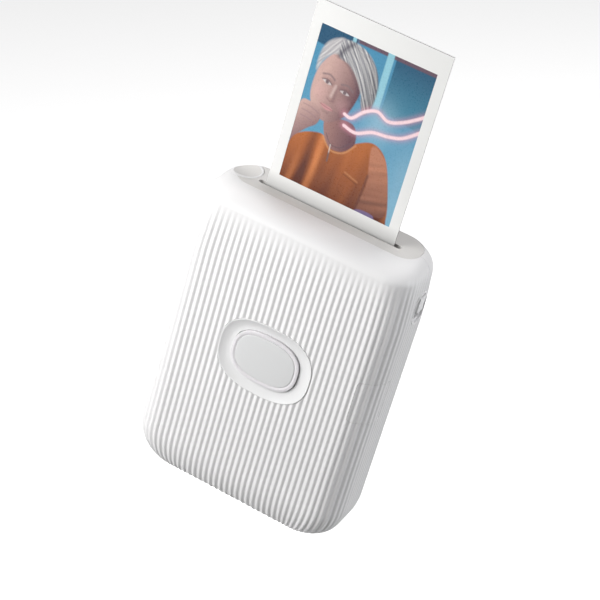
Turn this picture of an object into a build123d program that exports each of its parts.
from build123d import *
import math
import os

# A palm-size instant film printer, standing on its feet. Millimetres, +Z up, the front faces -Y,
# and the origin lies on the ground under the middle of the case.

# case
body_width = 90.3
body_depth = 34.6
body_height = 124.5
foot_height = 0.5
case_wall = 1.8
front_corner_radius = 10.5
rear_corner_radius = 12.5
corner_share = 0.9
bottom_roll_height = 17.0
bottom_roll_side = 12.0
bottom_roll_front = 7.3
bottom_roll_rear = 6.0
taper_height = 26.5
side_taper = 1.4
front_taper = 1.6
taper_power = 1.5
crown_height = 5.5
crown_side = 5.65
crown_front = 12.4
crown_rear = 2.6
roll_steps = 6
parting_y = 4.0
fit_gap = 0.25

# instant film, in the standard mini size
film_width = 54.0
film_height = 86.0
film_thick = 0.5
film_x = 0.8
picture_border_side = 4.0
picture_border_low = 15.7
picture_border_high = 8.3
mask_thick = 0.15
spare_sheets = 9
sheet_gap = 0.12
slide_gap = 0.15

# film pack and its chamber
pack_side_room = 4.0
pack_end_room = 6.0
pack_depth = 13.3
pack_wall = 1.2
pack_lip = 1.2
pack_door_gap = 0.3
pack_film_lift = 4.5
pack_slit_depth = 2.0
pack_plate_thick = 0.6
pack_plate_inset = 2.0
window_margin = 1.0
chamber_gap = 0.6
chassis_wall = 1.5
chassis_plate = 1.2
chassis_gap = 0.4
chassis_rear_gap = 1.8
seal_height = 1.0

# rollers and gears
roller_radius = 3.0
roller_gap = 0.05
roller_drop = 8.0
roller_face_extra = 2.0
shaft_radius = 1.5
shaft_end = 1.2
running_gap = 0.05
bush_radius = 2.5
bush_flange = 3.0
flange_thick = 0.5
film_in_rollers = 2.0
pack_under_rollers = 4.0
gear_module = 0.5
gear_thick = 2.5
large_gear_thick = 1.25
gear_backlash = 0.12
tooth_addendum = 0.85
tooth_dedendum = 1.2
pressure_angle = 20.0
flank_steps = 4
roller_teeth = 16
idler_teeth = 24
small_teeth = 12
large_teeth = 28
pinion_teeth = 12
idler_angle = -120.0
reduction_angle = -100.0
motor_angle = -90.0
gear_pin_radius = 0.8
gear_side_gap = 0.6
gear_end_gap = 0.3
motor_radius = 6.0
motor_length = 22.5
motor_boss_radius = 2.0
motor_boss_length = 1.2
motor_shaft_radius = 0.75
motor_screw_reach = 4.2
motor_screw_drop = 1.5
roller_spring_radius = 0.9
roller_spring_turns = 5
spring_side_gap = 0.1

# light head
head_height = 12.0
head_depth = 8.4
head_gap = 0.7
head_width_extra = 2.0
lens_height = 1.8
lens_depth = 0.8
lens_drop = 0.4
cable_width = 12.0
cable_x = -22.0
cable_thick = 0.25
cable_tail = 4.0

# deck, slot and function button
deck_thick = 1.9
deck_gap = 0.12
slot_end_gap = 3.0
slot_side_gap = 1.0
seal_thick = 0.8
seal_depth = 3.0
peg_radius = 0.9
peg_length = 1.0
peg_inset = 10.2
peg_front = 2.2
peg_rear = 5.0
button_inset = 8.05
button_y = 6.9
button_half_x = 6.9
button_half_y = 7.6
button_depth = 4.0
button_scoop_radius = 22.0
button_scoop_depth = 0.9
button_travel = 0.6
stem_radius = 1.3
stem_clear = 0.1
shelf_drop = 4.5
shelf_half = 3.6
cheek_gap = 0.5
button_spring_radius = 3.0
button_spring_turns = 4

# front oval
oval_z = 67.5
bezel_half_x = 19.5
bezel_half_z = 15.0
bezel_depth = 3.0
bezel_dish = 0.9
bezel_rim = 1.2
bezel_ledge = 1.5
power_half_x = 14.0
power_half_z = 10.5
ring_width = 1.6
power_thick = 2.2
power_recess = 0.3
power_travel = 0.5
power_spring_turns = 3
oval_power = 2.6
oval_points = 48

# electronics
board_inset = 5.9
board_thick = 1.0
board_left_gap = 9.15
board_height = 50.0
board_motor_gap = 5.0
battery_width = 52.0
battery_height = 46.0
battery_thick = 8.2
battery_clear = 1.8
battery_edge_flat = 0.2
battery_board_gap = 2.0
lead_radius = 0.7
lead_rise = 4.0
lead_bend = 1.8
lead_x = 12.0
post_radius = 2.0
post_side = 4.0
post_low = 5.0
post_high = 4.0
switch_size = 3.6
switch_height = 1.5
plunger_radius = 0.8
plunger_height = 0.35
radio_width = 10.0
radio_height = 14.0
radio_thick = 1.6
radio_inset = 2.0
radio_drop = 8.0

# charging socket and its flap
usb_z = 69.2
socket_length = 7.3
socket_width = 8.9
socket_height = 3.2
socket_wall = 0.3
socket_back = 1.0
socket_side_gap = 3.35
tongue_thick = 0.7
tongue_side_gap = 0.5
board_socket_gap = 1.0
flap_low = 60.5
flap_high = 78.0
flap_inset = 8.15
flap_rear_y = -5.0
flap_pin_radius = 0.45
flap_knuckle_radius = 0.9
flap_pin_inset = 0.6
flap_pin_depth = 1.0
flap_relief = 0.55
flap_pin_extra = 2.0
nail_length = 8.6
nail_width = 0.9
reset_radius = 0.9
reset_drop = 6.4
reset_length = 2.2
reset_inset = 0.8
reset_board_gap = 1.0
reset_travel = 0.4
reset_switch_size = 3.0

# film door and its hinge
door_side_cover = 2.1
door_below_pack = 4.5
door_top_drop = 12.5
door_corner = 4.0
door_gap = 0.3
door_reach = 2.6
hinge_side_gap = 2.4
hinge_depth = 1.6
hinge_pin_radius = 0.8
hinge_pin_extra = 1.0
knuckle_radius = 1.3
knuckle_height = 16.0
knuckle_gap = 0.3
knuckle_low_rise = 9.0
knuckle_high_drop = 25.0
knuckle_web = 0.6
knuckle_bite = 0.4
lug_height = 6.0
lug_root = 3.5
hinge_relief = 0.3
hinge_edge_reach = 3.6
leaf_height = 10.0
leaf_width = 10.0
leaf_thick = 0.2
leaf_inset = 27.6
seal_relief = 1.6

# latch
latch_y = 1.5
latch_drop = 18.0
latch_half_y = 5.5
latch_half_z = 6.7
latch_rim = 0.7
latch_dish = 1.1
latch_plate = 1.3
slider_width = 5.0
slider_height = 6.4
slider_travel = 3.0
slider_top_gap = 1.6
slider_proud = 0.15
latch_arm_thick = 1.2
latch_arm_height = 7.0
latch_arm_drop = 0.5
latch_hook_gap = 0.4
latch_hook_thick = 1.4
latch_hook_clear = 1.5
latch_spring_length = 9.0
latch_spring_radius = 0.8
latch_spring_turns = 6

# claw that lifts a sheet
claw_width = 6.0
claw_thick = 0.5
claw_length = 44.0
claw_x = -22.0
claw_travel = 8.0
claw_hook_width = 2.0
claw_hook_height = 1.8
claw_clear = 0.5
claw_side_gap = 0.6
claw_plate_gap = 0.1
claw_spring_radius = 0.6
claw_spring_length = 14.0
claw_spring_turns = 12

# fasteners, springs and feet
boss_inset = 5.15
boss_low_rise = 5.6
boss_motor_gap = 1.5
boss_radius = 2.2
screw_radius = 0.85
screw_head_radius = 1.7
screw_head_height = 1.1
screw_length = 9.0
small_screw_radius = 0.6
small_screw_length = 6.0
small_head_radius = 1.3
small_head_height = 0.5
foot_radius = 2.2
foot_x = 24.0
foot_y = 6.0
spring_wire = 0.2
touch = 0.01
past = 1.0
far = 400.0

# places that follow from the sizes
case_bottom = foot_height
case_rise = body_height - case_bottom
half_width = body_width / 2
half_depth = body_depth / 2
picture_width = film_width - 2 * picture_border_side
picture_height = film_height - picture_border_low - picture_border_high
pack_width = film_width + 2 * pack_side_room
pack_height = film_height + pack_end_room
taper_start = body_height - taper_height
front_inner_y = -half_depth + case_wall
rear_inner_y = half_depth - case_wall
roller_z = body_height - roller_drop
pack_rear_y = rear_inner_y - pack_door_gap
pack_front_y = pack_rear_y - pack_depth
pack_top_z = roller_z - roller_radius - pack_under_rollers
pack_bottom_z = pack_top_z - pack_height
film_front_y = pack_front_y + pack_lip
film_y = film_front_y + film_thick / 2
film_rear_y = film_front_y + film_thick
stack_front_y = film_rear_y + slide_gap + claw_plate_gap
stack_bottom_z = pack_bottom_z + pack_film_lift
film_bottom_z = roller_z - film_in_rollers
wall_inner = pack_width / 2 + chamber_gap
wall_outer = wall_inner + chassis_wall
left_cheek_x = film_x - wall_outer
right_cheek_x = film_x + wall_outer
chassis_back_y = pack_front_y - chassis_gap
chassis_front_y = chassis_back_y - chassis_plate
chassis_rear_y = pack_rear_y - chassis_rear_gap
chassis_low_z = pack_bottom_z - chamber_gap - chassis_wall
boss_low_z = chassis_low_z + boss_low_rise
roller_offset = film_thick / 2 + roller_gap + roller_radius
drive_y = film_y - roller_offset
pressure_y = film_y + roller_offset
roller_half = (film_width + roller_face_extra) / 2
gear_x = right_cheek_x + gear_side_gap
head_top_z = roller_z - roller_radius - head_gap
deck_bottom_z = body_height - deck_thick
button_x = -half_width + button_inset
button_low_z = body_height - button_depth
cheek_top_z = button_low_z - button_travel - cheek_gap + bush_flange - bush_radius
shelf_z = roller_z - shelf_drop
shelf_top_z = shelf_z + chassis_wall
board_y = -half_depth + board_inset
board_front_y = board_y - board_thick
socket_face_x = half_width - socket_side_gap
board_left = -half_width + board_left_gap
board_right = socket_face_x - board_socket_gap
flap_front_x = half_width - flap_inset
boss_x = half_width - boss_inset
door_half_width = wall_outer + film_x + door_side_cover
door_low = pack_bottom_z - door_below_pack
door_high = body_height - door_top_drop
hinge_x = left_cheek_x - hinge_side_gap
hinge_y = rear_inner_y - hinge_depth
door_hinge_edge = hinge_x - hinge_edge_reach
knuckle_low_z = door_low + knuckle_low_rise
knuckle_high_z = door_high - knuckle_high_drop
latch_z = body_height - latch_drop
latch_inner_x = half_width - latch_dish - latch_plate


def box(low, high):
    """A block given by its lowest and highest corners."""
    size = [b - a for a, b in zip(low, high)]
    centre = [(a + b) / 2 for a, b in zip(low, high)]
    return Pos(*centre) * Box(*size)


def rod(start, end, radius):
    """A round bar between two points that differ along one axis."""
    axis = Vector(*end) - Vector(*start)
    plane = Plane(origin=start, z_dir=axis)
    return Solid.make_cylinder(radius, axis.length, plane)


def coil_spring(start, end, radius, turns):
    """A compression spring of round wire between two points along one axis."""
    axis = Vector(*end) - Vector(*start)
    path = Helix(axis.length / turns, axis.length, radius)
    section = Plane(origin=path @ 0, z_dir=path % 0) * Circle(spring_wire)
    return Plane(origin=start, z_dir=axis) * sweep(section, path=path)


def edge_roll(reach, height, distance):
    """How far an elliptical edge has drawn in, at a distance from the end it rounds."""
    if distance >= height:
        return 0.0
    share = 1 - distance / height
    return reach * (1 - math.sqrt(1 - share * share))


def case_outline(z, inset):
    """The level outline of the case at z, moved in by inset: a rectangle with round corners."""
    squeeze = case_rise / (case_rise - 2 * inset)
    level = case_bottom + (z - case_bottom - inset) * squeeze
    low = level - case_bottom
    high = body_height - level
    lean = max(0.0, (level - taper_start) / (body_height - taper_start)) ** taper_power
    side = half_width - side_taper * lean - inset
    side -= edge_roll(bottom_roll_side, bottom_roll_height, low)
    side -= edge_roll(crown_side, crown_height, high)
    front = -half_depth + front_taper * lean + inset
    front += edge_roll(bottom_roll_front, bottom_roll_height, low)
    front += edge_roll(crown_front, crown_height, high)
    rear = half_depth - inset
    rear -= edge_roll(bottom_roll_rear, bottom_roll_height, low)
    rear -= edge_roll(crown_rear, crown_height, high)
    share = corner_share * (rear - front) / (front_corner_radius + rear_corner_radius)
    shrink = min(1.0, share)
    front_radius = shrink * front_corner_radius - inset
    rear_radius = shrink * rear_corner_radius - inset
    return rounded_wire(side, front, rear, front_radius, rear_radius, z)


def rounded_wire(side, front, rear, front_radius, rear_radius, z):
    """A closed outline with one radius on both front corners and one on both rear corners."""
    diagonal = math.sqrt(0.5)
    corners = [
        (side, front, front_radius, 1, -1),
        (side, rear, rear_radius, 1, 1),
        (-side, rear, rear_radius, -1, 1),
        (-side, front, front_radius, -1, -1),
    ]
    arcs = []
    for x, y, radius, out_x, out_y in corners:
        centre_x = x - out_x * radius
        centre_y = y - out_y * radius
        on_side = (x, centre_y, z)
        on_end = (centre_x, y, z)
        middle = (centre_x + out_x * radius * diagonal, centre_y + out_y * radius * diagonal, z)
        ends = (on_end, on_side) if out_x * out_y < 0 else (on_side, on_end)
        arcs.append((ends[0], middle, ends[1]))
    edges = []
    for index, (start, middle, end) in enumerate(arcs):
        edges.append(ThreePointArc(start, middle, end))
        edges.append(Line(end, arcs[(index + 1) % len(arcs)][0]))
    return Wire(edges)


def case_levels():
    """Heights of the outlines: close together where the ends roll in, by even angles."""
    angles = [math.pi / 2 * step / roll_steps for step in range(roll_steps)]
    low = [case_bottom + bottom_roll_height * (1 - math.cos(a)) for a in angles]
    high = [body_height - crown_height * (1 - math.cos(a)) for a in reversed(angles)]
    middle = [case_bottom + bottom_roll_height, (bottom_roll_height + taper_start) / 2, taper_start]
    lean = [taper_start + (body_height - crown_height - taper_start) * s for s in (0.35, 0.7, 1.0)]
    return low + middle + lean + high


def case_solid(inset):
    """The closed form of the case, or of its inside when inset is the wall."""
    rise = (case_rise - 2 * inset) / case_rise
    levels = [case_bottom + inset + (z - case_bottom) * rise for z in case_levels()]
    return Solid.make_loft([case_outline(z, inset) for z in levels], ruled=True)


def oval(half_x, half_z, y):
    """The outline of the front oval, a superellipse on the plane at y."""
    points = []
    for step in range(oval_points):
        angle = 2 * math.pi * step / oval_points
        c = math.cos(angle)
        s = math.sin(angle)
        x = half_x * math.copysign(abs(c) ** (2 / oval_power), c)
        z = oval_z + half_z * math.copysign(abs(s) ** (2 / oval_power), s)
        points.append((x, y, z))
    return Wire([Spline(points, periodic=True)])


def oval_block(half_x, half_z, front_y, rear_y):
    return extrude(Face(oval(half_x, half_z, front_y)), rear_y - front_y, dir=(0, 1, 0))


def latch_block(grow, inner_x):
    """The stadium of the latch recess, from inner_x out through the side."""
    half_y = latch_half_y + grow
    half_z = latch_half_z + grow
    plane = Plane(origin=(inner_x, latch_y, latch_z), x_dir=(0, 1, 0), z_dir=(1, 0, 0))
    return extrude(plane * RectangleRounded(2 * half_y, 2 * half_z, half_y - touch), far)


def button_block(grow, bottom_z):
    """The upright plug of the function button, from bottom_z up."""
    plane = Plane(origin=(button_x, button_y, bottom_z))
    return extrude(plane * Ellipse(button_half_x + grow, button_half_y + grow), far)


def door_block(grow):
    """The upright slab of the film door, from inside the rear wall outwards."""
    width = door_half_width - door_hinge_edge
    height = door_high - door_low
    plane = Plane(
        origin=(door_hinge_edge + width / 2, rear_inner_y - door_reach, (door_low + door_high) / 2),
        x_dir=(1, 0, 0),
        z_dir=(0, 1, 0),
    )
    sketch = RectangleRounded(width + 2 * grow, height + 2 * grow, door_corner + grow)
    return extrude(plane * sketch, body_depth)


def flap_block(grow):
    """The corner that the flap of the charging socket fills."""
    low = (flap_front_x - grow, -body_depth, flap_low - grow)
    high = (body_width, flap_rear_y + grow, flap_high + grow)
    return box(low, high)


def flap_axis(low_z, high_z):
    x = flap_front_x + flap_pin_inset
    y = -half_depth + flap_pin_depth
    return (x, y, low_z), (x, y, high_z)


def hinge_line(low_z, high_z):
    return (hinge_x, hinge_y, low_z), (hinge_x, hinge_y, high_z)


def gear_centres():
    """Where the idler, the reduction gear and the motor stand, each in mesh with the one before."""
    roller = (drive_y, roller_z)
    first = gear_module * (roller_teeth + idler_teeth) / 2
    idler = step_from(roller, first, idler_angle)
    second = gear_module * (idler_teeth + small_teeth) / 2
    reduction = step_from(idler, second, reduction_angle)
    third = gear_module * (large_teeth + pinion_teeth) / 2
    motor = step_from(reduction, third, motor_angle)
    return roller, idler, reduction, motor


def step_from(point, distance, degrees):
    angle = math.radians(degrees)
    return point[0] + distance * math.cos(angle), point[1] + distance * math.sin(angle)


def involute(angle):
    return math.tan(angle) - angle


def tooth_half_angle(teeth, radius):
    """Half the angle that a tooth fills at a radius."""
    pitch = gear_module * teeth / 2
    base = pitch * math.cos(math.radians(pressure_angle))
    at_pitch = math.pi / (2 * teeth) - gear_backlash / (2 * pitch)
    roll = involute(math.acos(min(1.0, base / radius)))
    return at_pitch + involute(math.radians(pressure_angle)) - roll


def gear_blank(teeth, centre, start_x, thick, phase, bore):
    """A spur gear about +X, with a tooth's middle at the angle phase."""
    pitch = gear_module * teeth / 2
    outer = pitch + tooth_addendum * gear_module
    root = pitch - tooth_dedendum * gear_module
    base = pitch * math.cos(math.radians(pressure_angle))
    low = max(base, root)
    flank = [low + (outer - low) * step / flank_steps for step in range(flank_steps + 1)]
    points = []
    for tooth in range(teeth):
        middle = phase + 2 * math.pi * tooth / teeth
        foot = tooth_half_angle(teeth, low)
        rising = [(root, middle - foot)] + [(r, middle - tooth_half_angle(teeth, r)) for r in flank]
        falling = [(r, middle + tooth_half_angle(teeth, r)) for r in reversed(flank)]
        falling.append((root, middle + foot))
        points += rising + falling
    plane = Plane(origin=(start_x, centre[0], centre[1]), x_dir=(0, 1, 0), z_dir=(1, 0, 0))
    outline = [(r * math.cos(a), r * math.sin(a)) for r, a in points]
    distinct = [p for i, p in enumerate(outline) if math.dist(p, outline[i - 1]) > touch]
    blank = extrude(plane * make_face(Polyline(distinct, close=True)), thick)
    if bore:
        blank -= rod((start_x - past, *centre), (start_x + thick + past, *centre), bore)
    return blank


def meshing_phase(teeth, phase, line_angle, other_teeth):
    """The phase of a gear whose gap faces the other gear's tooth along the line between them."""
    turned = (math.radians(line_angle) - phase) * teeth / other_teeth
    return math.radians(line_angle) + math.pi + turned + math.pi / other_teeth


def screw(tip, direction, radius, length, head_radius, head_height):
    """A pan head screw: tip is the head's seat, and the shank runs along direction."""
    seat = Vector(*tip)
    way = Vector(*direction)
    shank = rod(tuple(seat), tuple(seat + way * length), radius)
    head = rod(tuple(seat - way * head_height), tuple(seat), head_radius)
    slot = rod(tuple(seat - way * head_height), tuple(seat - way * head_height / 2), head_radius / 3)
    return shank + head - slot


motor_z = gear_centres()[3][1]
board_high = motor_z - motor_radius - board_motor_gap
board_low = board_high - board_height
battery_low = board_low + battery_board_gap
boss_high_z = motor_z - motor_radius - boss_motor_gap
case_outer = case_solid(0)
case_inner = case_solid(case_wall)
case_shell = case_outer - case_inner


def boss_places():
    return [(x, z) for x in (-boss_x, boss_x) for z in (boss_low_z, boss_high_z)]


def deck_outline_block(grow):
    """The lens of the deck, taken from the case's top outline."""
    top = Face(case_outline(body_height, 0))
    lens = offset(top, grow) if grow else top
    return extrude(Pos(0, 0, -2 * deck_thick) * lens, 3 * deck_thick)


def front_shell():
    shell = case_shell & box((-far, -far, -far), (far, parting_y, far))
    for x, z in boss_places():
        shell += rod((x, -half_depth, z), (x, chassis_front_y, z), boss_radius) & case_outer
    for x, z in boss_places():
        shell -= rod((x, chassis_back_y - screw_length, z), (x, chassis_back_y, z), screw_radius)
    shell -= deck_outline_block(deck_gap)
    shell -= button_block(fit_gap, button_low_z - case_wall)
    shell -= oval_block(bezel_half_x, bezel_half_z, -body_depth, 0)
    shell -= flap_block(fit_gap)
    shell -= rod(*flap_axis(flap_low - fit_gap, flap_high + fit_gap), flap_knuckle_radius + flap_relief)
    shell -= rod(*flap_axis(flap_low - flap_pin_extra, flap_high + flap_pin_extra), flap_pin_radius)
    shell -= latch_block(touch, latch_inner_x - past)
    return shell


def rear_frame():
    frame = case_shell & box((-far, parting_y, -far), (far, far, far))
    frame -= deck_outline_block(deck_gap)
    frame -= button_block(fit_gap, button_low_z - case_wall)
    frame -= door_block(door_gap)
    frame -= rod(*hinge_line(door_low - door_gap, door_high + door_gap), knuckle_sweep() + hinge_relief)
    frame -= latch_block(touch, latch_inner_x - past)
    return frame


def knuckle_sweep():
    """How far the door's free edge beside the hinge reaches from the pin."""
    past_flat = -door_hinge_edge - (half_width - rear_corner_radius)
    edge_y = half_depth - rear_corner_radius + math.sqrt(rear_corner_radius**2 - past_flat**2)
    return math.hypot(hinge_edge_reach, edge_y - hinge_y)


def top_deck():
    deck = deck_outline_block(0) & box((-far, -far, deck_bottom_z), (far, far, body_height))
    slot = SlotOverall(film_width + 2 * slot_end_gap, film_thick + 2 * slot_side_gap)
    deck -= extrude(Pos(film_x, film_y, 0) * slot, far, both=True)
    deck -= button_block(fit_gap, 0)
    for side in (-1, 1):
        x = film_x + side * (film_width / 2 + slot_end_gap - peg_inset)
        for y in (film_y - slot_side_gap - peg_front, film_y + slot_side_gap + peg_rear):
            deck += rod((x, y, deck_bottom_z - peg_length), (x, y, deck_bottom_z + touch), peg_radius)
    return deck


def slot_seal():
    front = film_rear_y + slot_side_gap
    low = (film_x - film_width / 2, front, deck_bottom_z - seal_thick)
    return box(low, (film_x + film_width / 2, front + seal_depth, deck_bottom_z))


def function_button():
    plug = button_block(0, button_low_z) & case_outer
    scoop_z = body_height - button_scoop_depth + button_scoop_radius
    plug -= Pos(button_x, button_y, scoop_z) * Sphere(button_scoop_radius)
    stem_end = shelf_top_z + switch_height + plunger_height + button_travel + stem_clear
    return plug + rod((button_x, button_y, stem_end), (button_x, button_y, button_low_z + touch), stem_radius)


def function_switch():
    return switch_block((button_x, button_y, shelf_top_z), (0, 0, 1))


def switch_block(place, way):
    """A small tactile switch on a face, with its plunger along way."""
    plane = Plane(origin=place, z_dir=way)
    body = extrude(plane * Rectangle(switch_size, switch_size), switch_height)
    start = Vector(*place) + Vector(*way) * (switch_height - touch)
    plunger = rod(tuple(start), tuple(start + Vector(*way) * (plunger_height + touch)), plunger_radius)
    return body + plunger


def function_spring():
    rest = (button_x, button_y, shelf_top_z + spring_wire)
    under = (button_x, button_y, button_low_z - spring_wire - touch)
    return coil_spring(rest, under, button_spring_radius, button_spring_turns)


def power_hole():
    return oval_block(power_half_x + fit_gap, power_half_z + fit_gap, -body_depth, 0)


def front_bezel():
    """Dished ring that fills the oval opening, with a ledge behind the wall."""
    front = -half_depth
    rear = front + bezel_depth
    ring = oval_block(bezel_half_x - fit_gap / 2, bezel_half_z - fit_gap / 2, front, rear)
    ring += oval_block(bezel_half_x + bezel_ledge, bezel_half_z + bezel_ledge, front_inner_y, rear)
    dish_low = oval(bezel_half_x - bezel_rim, bezel_half_z - bezel_rim, front - touch)
    dish_high = oval(power_half_x + bezel_rim, power_half_z + bezel_rim, front + bezel_dish)
    ring -= Solid.make_loft([dish_low, dish_high], True)
    return ring - power_hole()


def light_ring():
    front = -half_depth + power_recess
    ring = oval_block(power_half_x, power_half_z, front, front + power_thick)
    return ring - oval_block(power_half_x - ring_width, power_half_z - ring_width, front - past, 0)


def power_button():
    front = -half_depth + power_recess
    half_x = power_half_x - ring_width
    half_z = power_half_z - ring_width
    plate = oval_block(half_x, half_z, front, front + power_thick)
    end = board_front_y - switch_height - plunger_height - power_travel - stem_clear
    return plate + rod((0, front + power_thick - touch, oval_z), (0, end, oval_z), stem_radius)


def power_switch():
    return switch_block((0, board_front_y, oval_z), (0, -1, 0))


def power_spring():
    rest = (0, board_front_y - spring_wire, oval_z)
    under = (0, -half_depth + power_recess + power_thick + spring_wire + touch, oval_z)
    return coil_spring(rest, under, button_spring_radius, power_spring_turns)


def usb_cover():
    flap = case_shell & flap_block(0)
    low, high = flap_axis(flap_low, flap_high)
    flap += rod(low, high, flap_knuckle_radius)
    flap -= rod(low, high, flap_pin_radius + running_gap)
    nail_high = (flap_low + flap_high - nail_length) / 2
    nail = box(
        (half_width - case_wall / 2, flap_rear_y - nail_width, nail_high),
        (body_width, flap_rear_y + nail_width, nail_high + nail_length),
    )
    return flap - nail


def usb_cover_pin():
    return rod(*flap_axis(flap_low - flap_pin_extra, flap_high + flap_pin_extra), flap_pin_radius)


def socket_shell(grow):
    """The rounded bar of the charging socket, opening to +X, with its middle behind the board."""
    plane = Plane(
        origin=(socket_face_x - socket_length, board_y + socket_height / 2, usb_z),
        x_dir=(0, 0, 1),
        z_dir=(1, 0, 0),
    )
    sketch = SlotOverall(socket_width + 2 * grow, socket_height + 2 * grow)
    return plane, sketch


def usb_socket():
    plane, outside = socket_shell(0)
    _, inside = socket_shell(-socket_wall)
    socket = extrude(plane * outside, socket_length)
    socket -= extrude(plane.offset(socket_back) * inside, socket_length)
    tongue = RectangleRounded(socket_width - socket_height, tongue_thick, tongue_thick / 3)
    return socket + extrude(plane.offset(touch) * tongue, socket_length - tongue_side_gap)


def reset_place():
    return board_y + reset_radius + reset_board_gap, usb_z - reset_drop


def reset_button():
    y, z = reset_place()
    end = socket_face_x - reset_inset
    return rod((end - reset_length, y, z), (end, y, z), reset_radius)


def reset_switch():
    y, z = reset_place()
    end = socket_face_x - reset_inset - reset_length - reset_travel - stem_clear
    half = reset_switch_size / 2
    return box((end - switch_height, y - half, z - half), (end, y + half, z + half))


def main_board():
    board = box((board_left, board_front_y, board_low), (board_right, board_y, board_high))
    for x, z in board_screw_places():
        board -= rod((x, board_front_y - past, z), (x, board_y + past, z), small_screw_radius + running_gap)
    return board


def board_screw_places():
    x_left = film_x - battery_width / 2 - post_side
    x_right = film_x + battery_width / 2 + post_side
    return [(x, z) for x in (x_left, x_right) for z in (board_low + post_low, board_high - post_high)]


def board_chips():
    """Processor, memory, power parts and connectors: middle from the lower left screw, size, thickness."""
    screw_x, screw_z = board_screw_places()[0]
    places = [
        (5.2, 15.0, 12.0, 12.0, 1.1),
        (21.2, 12.0, 9.0, 8.0, 0.9),
        (37.2, 10.0, 7.0, 7.0, 1.0),
        (51.2, 14.0, 10.0, 6.0, 1.4),
        (51.2, 24.0, 5.0, 5.0, 1.2),
        (11.2, 28.0, 6.0, 4.0, 0.8),
        (59.2, 32.0, 4.0, 8.0, 1.3),
        (13.2, 43.0, 14.0, 3.0, 1.2),
    ]
    chips = []
    for across, up, width, height, thick in places:
        x = screw_x + across
        z = screw_z + up
        low = (x - width / 2, board_front_y - thick, z - height / 2)
        chips.append(box(low, (x + width / 2, board_front_y, z + height / 2)))
    return Compound(children=chips)


def radio_module():
    high_z = board_high - radio_drop
    low = (board_left + radio_inset, board_front_y - radio_thick, high_z - radio_height)
    return box(low, (board_left + radio_inset + radio_width, board_front_y, high_z))


def board_screws():
    screws = []
    size = (small_screw_radius, small_screw_length, small_head_radius, small_head_height)
    for x, z in board_screw_places():
        screws.append(screw((x, board_front_y, z), (0, 1, 0), *size))
    return Compound(children=screws)


def battery():
    rear = chassis_front_y - battery_clear
    low = (film_x - battery_width / 2, rear - battery_thick, battery_low)
    high = (film_x + battery_width / 2, rear, battery_low + battery_height)
    block = box(low, high)
    return fillet(block.edges().filter_by(Axis.Z), battery_thick / 2 - battery_edge_flat)


def battery_lead():
    """Lead from the battery's top, up and forward to its connector behind the board."""
    middle_y = chassis_front_y - battery_clear - battery_thick / 2
    top = battery_low + battery_height
    x = film_x + lead_x
    start = (x, middle_y, top)
    end = (x, board_y, top + lead_rise)
    path = FilletPolyline(start, (x, middle_y, top + lead_rise), end, radius=lead_bend)
    return sweep(Plane(origin=start, z_dir=(0, 0, 1)) * Circle(lead_radius), path=path)


def chassis():
    """Plate in front of the pack, walls round it that rise as cheeks, shelf, screw tabs and posts."""
    left_in = left_cheek_x + chassis_wall
    right_in = right_cheek_x - chassis_wall
    plate_top = head_top_z - head_height - past
    frame = box((left_cheek_x, chassis_front_y, chassis_low_z), (right_cheek_x, chassis_back_y, plate_top))
    frame += box((left_cheek_x, chassis_front_y, chassis_low_z), (left_in, chassis_rear_y, cheek_top_z))
    frame += box((right_in, chassis_front_y, chassis_low_z), (right_cheek_x, chassis_rear_y, cheek_top_z))
    floor_high = (right_cheek_x, chassis_rear_y, chassis_low_z + chassis_wall)
    frame += box((left_cheek_x, chassis_front_y, chassis_low_z), floor_high)
    joint_y = chassis_front_y + touch
    cheek_front = drive_y - bush_flange - chassis_wall
    frame += box((left_cheek_x, cheek_front, head_top_z - head_height), (left_in, joint_y, cheek_top_z))
    _, _, reduction, motor = gear_centres()
    gear_front = reduction[0] - motor_radius
    gear_low = motor[1] - motor_radius - past
    frame += box((right_in, gear_front, gear_low), (right_cheek_x, joint_y, cheek_top_z))
    shelf_low = (button_x - shelf_half, button_y - shelf_half, shelf_z)
    frame += box(shelf_low, (left_cheek_x + touch, button_y + shelf_half, shelf_top_z))
    for x, z in boss_places():
        ends = (x - boss_radius, left_cheek_x + touch) if x < 0 else (right_cheek_x - touch, x + boss_radius)
        frame += box((ends[0], chassis_front_y, z - boss_radius), (ends[1], chassis_back_y, z + boss_radius))
    for x, z in board_screw_places():
        frame += rod((x, board_y, z), (x, joint_y, z), post_radius)
    for low in lug_places():
        frame += rod(*hinge_line(low, low + lug_height), knuckle_radius)
        web_low = (hinge_x - knuckle_radius, chassis_rear_y - lug_root, low)
        frame += box(web_low, (left_cheek_x + touch, hinge_y, low + lug_height))
    return cut_chassis(frame)


def cut_chassis(frame):
    """The chassis's holes: hinge pin, bushes, screws, motor, gear pins and the claw's slot."""
    for low in lug_places():
        frame -= rod(*hinge_line(low - past, low + lug_height + past), hinge_pin_radius)
    for y in (drive_y, pressure_y):
        frame -= rod((left_cheek_x - past, y, roller_z), (right_cheek_x + past, y, roller_z), bush_radius)
    for x, z in boss_places():
        ends = ((x, chassis_front_y - past, z), (x, chassis_back_y + past, z))
        frame -= rod(*ends, screw_radius + running_gap)
    for x, z in board_screw_places():
        frame -= rod((x, board_y - past, z), (x, board_y + small_screw_length, z), small_screw_radius)
    _, idler, reduction, motor = gear_centres()
    holes = [(idler, gear_pin_radius), (reduction, gear_pin_radius), (motor, motor_boss_radius)]
    holes += [(place, small_screw_radius) for place in motor_screw_places()]
    for centre, radius in holes:
        frame -= rod((right_cheek_x - chassis_wall - past, *centre), (right_cheek_x + past, *centre), radius)
    half = claw_hook_width / 2 + claw_side_gap
    low, high = claw_slot_span()
    slot_low = (claw_x - half, chassis_front_y - past, low)
    return frame - box(slot_low, (claw_x + half, chassis_back_y + past, high))


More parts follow.
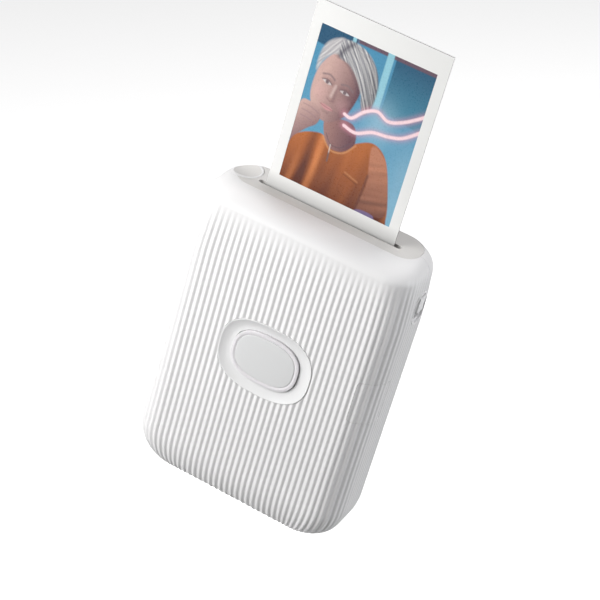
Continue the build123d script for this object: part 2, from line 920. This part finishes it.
def claw_slot_span():
    """Lowest and highest place that the claw's hook needs, with room at both ends."""
    hook_top = stack_bottom_z - claw_clear
    return hook_top - claw_hook_height - claw_side_gap, hook_top + claw_travel + claw_side_gap


def lug_places():
    """Lower ends of the chassis's hinge lugs: one on each side of each door knuckle."""
    places = []
    for knuckle in (knuckle_low_z, knuckle_high_z):
        places.append(knuckle - knuckle_gap - lug_height)
        places.append(knuckle + knuckle_height + knuckle_gap)
    return places


def film_door():
    """Rear door with two hinge knuckles, thinned where the chassis's lugs stand under it."""
    door = case_shell & door_block(0)
    for low in lug_places():
        lug_low = (door_hinge_edge - past, 0, low - knuckle_gap)
        lug_high = (hinge_x + knuckle_radius + knuckle_gap, rear_inner_y, low + lug_height + knuckle_gap)
        door -= box(lug_low, lug_high)
    for low in (knuckle_low_z, knuckle_high_z):
        high = low + knuckle_height
        door += rod(*hinge_line(low, high), knuckle_radius)
        web_high = (hinge_x + knuckle_radius, rear_inner_y + knuckle_bite, high)
        door += box((hinge_x - knuckle_web, hinge_y, low), web_high)
    for low in (knuckle_low_z, knuckle_high_z):
        door -= rod(*hinge_line(low - past, low + knuckle_height + past), hinge_pin_radius + running_gap)
    return door


def door_hinge_pin():
    places = lug_places()
    low = places[0] - hinge_pin_extra
    return rod(*hinge_line(low, places[-1] + lug_height + hinge_pin_extra), hinge_pin_radius)


def pack_springs():
    """Two spring plates on the inside of the door, which press the pack forward."""
    springs = []
    for inset in (leaf_inset, pack_height - leaf_inset):
        z = pack_bottom_z + inset
        low = (film_x - leaf_width / 2, rear_inner_y - leaf_thick, z - leaf_height / 2)
        springs.append(box(low, (film_x + leaf_width / 2, rear_inner_y, z + leaf_height / 2)))
    return Compound(children=springs)


def door_seal():
    """Foam frame on the rear edges of the film chamber, open at the top."""
    top = pack_top_z + chamber_gap
    rear = chassis_rear_y + seal_height
    seal = box((left_cheek_x, chassis_rear_y, chassis_low_z), (right_cheek_x, rear, top))
    inner_low = (film_x - wall_inner, chassis_rear_y - past, chassis_low_z + chassis_wall)
    seal -= box(inner_low, (film_x + wall_inner, rear + past, top + past))
    for low in lug_places():
        lug_low = (hinge_x - far, 0, low - knuckle_gap)
        seal -= box(lug_low, (left_cheek_x + chamber_gap, far, low + lug_height + knuckle_gap))
    for low in (knuckle_low_z, knuckle_high_z):
        ends = hinge_line(low - knuckle_gap, low + knuckle_height + knuckle_gap)
        seal -= rod(*ends, knuckle_radius + seal_relief)
    return seal


def film_pack():
    """Cassette with an opening over the first sheet, a slit on top and a notch for the claw."""
    left = film_x - pack_width / 2
    right = film_x + pack_width / 2
    pack = box((left, pack_front_y, pack_bottom_z), (right, pack_rear_y, pack_top_z))
    hollow_front = film_front_y - slide_gap
    hollow_low = (left + pack_wall, hollow_front, pack_bottom_z + pack_wall)
    pack -= box(hollow_low, (right - pack_wall, pack_rear_y - pack_wall, pack_top_z - pack_wall))
    window_low = stack_bottom_z + picture_border_low - window_margin
    window_high = window_low + picture_height + 2 * window_margin
    half = picture_width / 2 + window_margin
    pack -= box((film_x - half, pack_front_y - past, window_low), (film_x + half, film_front_y, window_high))
    half = film_width / 2 + claw_side_gap
    slit_low = (film_x - half, hollow_front, pack_top_z - pack_slit_depth)
    pack -= box(slit_low, (film_x + half, film_rear_y + slide_gap, pack_top_z + past))
    half = claw_hook_width / 2 + claw_side_gap
    notch_low = (claw_x - half, pack_front_y - past, pack_bottom_z + pack_wall)
    return pack - box(notch_low, (claw_x + half, film_front_y, claw_slot_span()[1]))


def film_stack():
    """The unexposed sheets left behind the one that was printed."""
    sheets = []
    for index in range(spare_sheets):
        front = stack_front_y + index * (film_thick + sheet_gap)
        sheets.append(film_sheet(stack_bottom_z, front, front + film_thick))
    return Compound(children=sheets)


def film_sheet(bottom_z, front_y, rear_y):
    low = (film_x - film_width / 2, front_y, bottom_z)
    return box(low, (film_x + film_width / 2, rear_y, bottom_z + film_height))


def pack_pressure_plate():
    """The plate in the cassette that keeps the sheets forward."""
    front = stack_front_y + spare_sheets * (film_thick + sheet_gap)
    low = (film_x - film_width / 2, front, stack_bottom_z + pack_plate_inset)
    high_z = stack_bottom_z + film_height - pack_plate_inset
    return box(low, (film_x + film_width / 2, front + pack_plate_thick, high_z))


def picture_block(front_y, rear_y):
    """A block over the print's picture, between two depths."""
    low_z = film_bottom_z + picture_border_low
    low = (film_x - picture_width / 2, front_y, low_z)
    return box(low, (film_x + picture_width / 2, rear_y, low_z + picture_height))


def print_mask():
    """White front of the finished print, with the window of the picture."""
    sheet = film_sheet(film_bottom_z, film_front_y, film_front_y + mask_thick)
    return sheet - picture_block(film_front_y - past, film_front_y + mask_thick)


def print_picture():
    """Image layer, a little behind the face of the white mask."""
    return picture_block(film_front_y + mask_thick / 2, film_front_y + mask_thick)


def print_back():
    return film_sheet(film_bottom_z, film_front_y + mask_thick, film_rear_y)


def roller(y, end_x):
    """A roller with its shaft, from beyond the left cheek to end_x."""
    roll = rod((film_x - roller_half, y, roller_z), (film_x + roller_half, y, roller_z), roller_radius)
    return roll + rod((left_cheek_x - shaft_end, y, roller_z), (end_x, y, roller_z), shaft_radius)


def drive_roller():
    return roller(drive_y, gear_x + gear_thick + flange_thick)


def pressure_roller():
    return roller(pressure_y, right_cheek_x + shaft_end)


def roller_bearings():
    """Four flanged bushes in the cheeks."""
    bushes = []
    for y in (drive_y, pressure_y):
        for side, outer in ((1, left_cheek_x), (-1, right_cheek_x)):
            inner = outer + side * chassis_wall
            end = inner + side * flange_thick
            bush = rod((outer, y, roller_z), (inner, y, roller_z), bush_radius)
            bush += rod((inner, y, roller_z), (end, y, roller_z), bush_flange)
            ends = ((outer - side * past, y, roller_z), (end + side * past, y, roller_z))
            bore = rod(*ends, shaft_radius + running_gap)
            bushes.append(bush - bore)
    return Compound(children=bushes)


def roller_springs():
    """Springs beside the cheeks that press the rear roller's ends forward."""
    reach = roller_spring_radius + spring_wire + spring_side_gap
    start_y = pressure_y + bush_radius
    springs = []
    for x in (left_cheek_x - reach, right_cheek_x + reach):
        ends = ((x, start_y, roller_z), (x, chassis_rear_y, roller_z))
        springs.append(coil_spring(*ends, roller_spring_radius, roller_spring_turns))
    return Compound(children=springs)


def gear_phases():
    line = (idler_angle, reduction_angle, motor_angle)
    idler = meshing_phase(roller_teeth, 0.0, line[0], idler_teeth)
    small = meshing_phase(idler_teeth, idler, line[1], small_teeth)
    pinion = meshing_phase(large_teeth, 0.0, line[2], pinion_teeth)
    return idler, small, pinion


def roller_gear():
    return gear_blank(roller_teeth, gear_centres()[0], gear_x, gear_thick, 0.0, shaft_radius)


def idler_gear():
    bore = gear_pin_radius + running_gap
    return gear_blank(idler_teeth, gear_centres()[1], gear_x, gear_thick, gear_phases()[0], bore)


def reduction_gear():
    """Small gear in the idler's plane and large gear outside it, in one piece."""
    centre = gear_centres()[2]
    bore = gear_pin_radius + running_gap
    small = gear_blank(small_teeth, centre, gear_x, gear_thick + touch, gear_phases()[1], bore)
    return small + gear_blank(large_teeth, centre, gear_x + gear_thick, large_gear_thick, 0.0, bore)


def motor_pinion():
    start = gear_x + gear_thick - gear_end_gap
    thick = large_gear_thick + 2 * gear_end_gap
    return gear_blank(pinion_teeth, gear_centres()[3], start, thick, gear_phases()[2], motor_shaft_radius)


def gear_pins():
    """Pins pressed into the right cheek, for the idler and the reduction gear."""
    pins = []
    for centre in gear_centres()[1:3]:
        ends = ((right_cheek_x - chassis_wall, *centre), (gear_x + 2 * gear_thick, *centre))
        pins.append(rod(*ends, gear_pin_radius))
    return Compound(children=pins)


def drive_motor():
    """Motor can against the right cheek, with its rear bearing boss."""
    centre = gear_centres()[3]
    front = right_cheek_x - chassis_wall
    rear = front - motor_length
    can = rod((rear, *centre), (front, *centre), motor_radius)
    return can + rod((rear - motor_boss_length, *centre), (rear + touch, *centre), motor_boss_radius)


def motor_shaft():
    centre = gear_centres()[3]
    start = right_cheek_x - chassis_wall + running_gap
    return rod((start, *centre), (gear_x + 2 * gear_thick, *centre), motor_shaft_radius)


def motor_screw_places():
    y, z = gear_centres()[3]
    return [(y - motor_screw_reach, z - motor_screw_drop), (y + motor_screw_reach, z - motor_screw_drop)]


def motor_screws():
    size = (small_screw_radius, chassis_wall, small_head_radius, small_head_height)
    screws = [screw((right_cheek_x, y, z), (-1, 0, 0), *size) for y, z in motor_screw_places()]
    return Compound(children=screws)


def print_head():
    """Bar with the row of light sources, in front of the sheet and under the rollers."""
    half = (film_width + head_width_extra) / 2
    low = (film_x - half, chassis_back_y - head_depth, head_top_z - head_height)
    return box(low, (film_x + half, chassis_back_y, head_top_z))


def head_lens():
    top = head_top_z - lens_drop
    low = (film_x - film_width / 2, chassis_back_y, top - lens_height)
    return box(low, (film_x + film_width / 2, chassis_back_y + lens_depth, top))


def head_cable():
    """Flat cable from the head down to the back of the board."""
    head_y = chassis_back_y - head_depth
    head_z = head_top_z - head_height / 2
    points = [
        (head_y, head_z),
        (board_y, board_high - cable_thick),
        (board_y, board_high - cable_tail),
        (board_y + cable_thick, board_high - cable_tail),
        (board_y + cable_thick, board_high - cable_thick),
        (head_y, head_z - cable_tail / 2),
    ]
    plane = Plane(origin=(film_x + cable_x, 0, 0), x_dir=(0, 1, 0), z_dir=(1, 0, 0))
    return extrude(plane * make_face(Polyline(points, close=True)), cable_width)


def ejector_claw():
    """Flat slider with a hook that reaches under the first sheet."""
    rear = chassis_front_y - claw_plate_gap
    hook_top = stack_bottom_z - claw_clear
    hook_low = hook_top - claw_hook_height
    half = claw_width / 2
    plate = box((claw_x - half, rear - claw_thick, hook_low), (claw_x + half, rear, hook_low + claw_length))
    half = claw_hook_width / 2
    hook_end = (claw_x + half, film_rear_y - claw_plate_gap, hook_top)
    return plate + box((claw_x - half, rear - touch, hook_low), hook_end)


def ejector_spring():
    top = stack_bottom_z - claw_clear - claw_hook_height + claw_length
    y = chassis_front_y - battery_clear / 2
    start = (claw_x, y, top + spring_wire)
    return coil_spring(start, (claw_x, y, top + claw_spring_length), claw_spring_radius, claw_spring_turns)


def latch_bezel():
    """Fixed oval dish with the slot in which the latch slides."""
    cup = latch_block(0, latch_inner_x) & case_outer
    plane = Plane(origin=(half_width - latch_dish, latch_y, latch_z), x_dir=(0, 1, 0), z_dir=(1, 0, 0))
    half_y = latch_half_y - latch_rim
    half_z = latch_half_z - latch_rim
    cup -= extrude(plane * RectangleRounded(2 * half_y, 2 * half_z, half_y - touch), far)
    low, high = slider_span()
    half = slider_width / 2 + fit_gap
    slot_low = (latch_inner_x - past, latch_y - half, low - slider_travel - fit_gap)
    return cup - box(slot_low, (far, latch_y + half, high + fit_gap))


def slider_span():
    high = latch_z + latch_half_z - slider_top_gap
    return high - slider_height, high


def latch_arm_span():
    high = slider_span()[1] - latch_arm_drop
    return high - latch_arm_height, high


def door_latch():
    """Finger piece in the dish, with the arm behind it that runs back to the door's edge."""
    low, high = slider_span()
    half = slider_width / 2
    arm_x = latch_inner_x - fit_gap
    latch = box((arm_x - touch, latch_y - half, low), (half_width - slider_proud, latch_y + half, high))
    arm_low, arm_high = latch_arm_span()
    turn_y = latch_y + half + latch_arm_thick
    hook_x = door_half_width - latch_hook_gap
    hook_y = rear_inner_y - latch_hook_clear
    latch += box((arm_x - latch_arm_thick, latch_y - half, arm_low), (arm_x, turn_y, arm_high))
    latch += box((hook_x, turn_y - latch_arm_thick, arm_low), (arm_x, turn_y, arm_high))
    return latch + box((hook_x, turn_y - touch, arm_low), (hook_x + latch_hook_thick, hook_y, arm_high))


def latch_spring():
    x = latch_inner_x - fit_gap - latch_arm_thick / 2 - spring_wire
    arm_low = latch_arm_span()[0]
    ends = ((x, latch_y, arm_low - latch_spring_length), (x, latch_y, arm_low - spring_wire))
    return coil_spring(*ends, latch_spring_radius, latch_spring_turns)


def case_screws():
    size = (screw_radius, screw_length, screw_head_radius, screw_head_height)
    screws = [screw((x, chassis_back_y, z), (0, -1, 0), *size) for x, z in boss_places()]
    return Compound(children=screws)


def foot_pads():
    pads = []
    for x in (-foot_x, foot_x):
        for y in (-foot_y, foot_y):
            pads.append(rod((x, y, 0), (x, y, foot_height), foot_radius))
    return Compound(children=pads)


pieces = {
    "front_shell": front_shell,
    "rear_frame": rear_frame,
    "film_door": film_door,
    "door_hinge_pin": door_hinge_pin,
    "pack_springs": pack_springs,
    "door_seal": door_seal,
    "top_deck": top_deck,
    "slot_seal": slot_seal,
    "function_button": function_button,
    "function_switch": function_switch,
    "function_spring": function_spring,
    "front_bezel": front_bezel,
    "power_button": power_button,
    "light_ring": light_ring,
    "power_switch": power_switch,
    "power_spring": power_spring,
    "usb_cover": usb_cover,
    "usb_cover_pin": usb_cover_pin,
    "usb_socket": usb_socket,
    "reset_button": reset_button,
    "reset_switch": reset_switch,
    "latch_bezel": latch_bezel,
    "door_latch": door_latch,
    "latch_spring": latch_spring,
    "chassis": chassis,
    "main_board": main_board,
    "board_chips": board_chips,
    "radio_module": radio_module,
    "board_screws": board_screws,
    "battery": battery,
    "battery_lead": battery_lead,
    "film_pack": film_pack,
    "film_stack": film_stack,
    "pack_pressure_plate": pack_pressure_plate,
    "print_mask": print_mask,
    "print_picture": print_picture,
    "print_back": print_back,
    "drive_roller": drive_roller,
    "pressure_roller": pressure_roller,
    "roller_bearings": roller_bearings,
    "roller_springs": roller_springs,
    "roller_gear": roller_gear,
    "idler_gear": idler_gear,
    "reduction_gear": reduction_gear,
    "motor_pinion": motor_pinion,
    "motor_shaft": motor_shaft,
    "gear_pins": gear_pins,
    "drive_motor": drive_motor,
    "motor_screws": motor_screws,
    "print_head": print_head,
    "head_lens": head_lens,
    "head_cable": head_cable,
    "ejector_claw": ejector_claw,
    "ejector_spring": ejector_spring,
    "case_screws": case_screws,
    "foot_pads": foot_pads,
}

os.makedirs("parts", exist_ok=True)
for name, make in pieces.items():
    export_step(make(), f"parts/{name}.step")
    print(name)
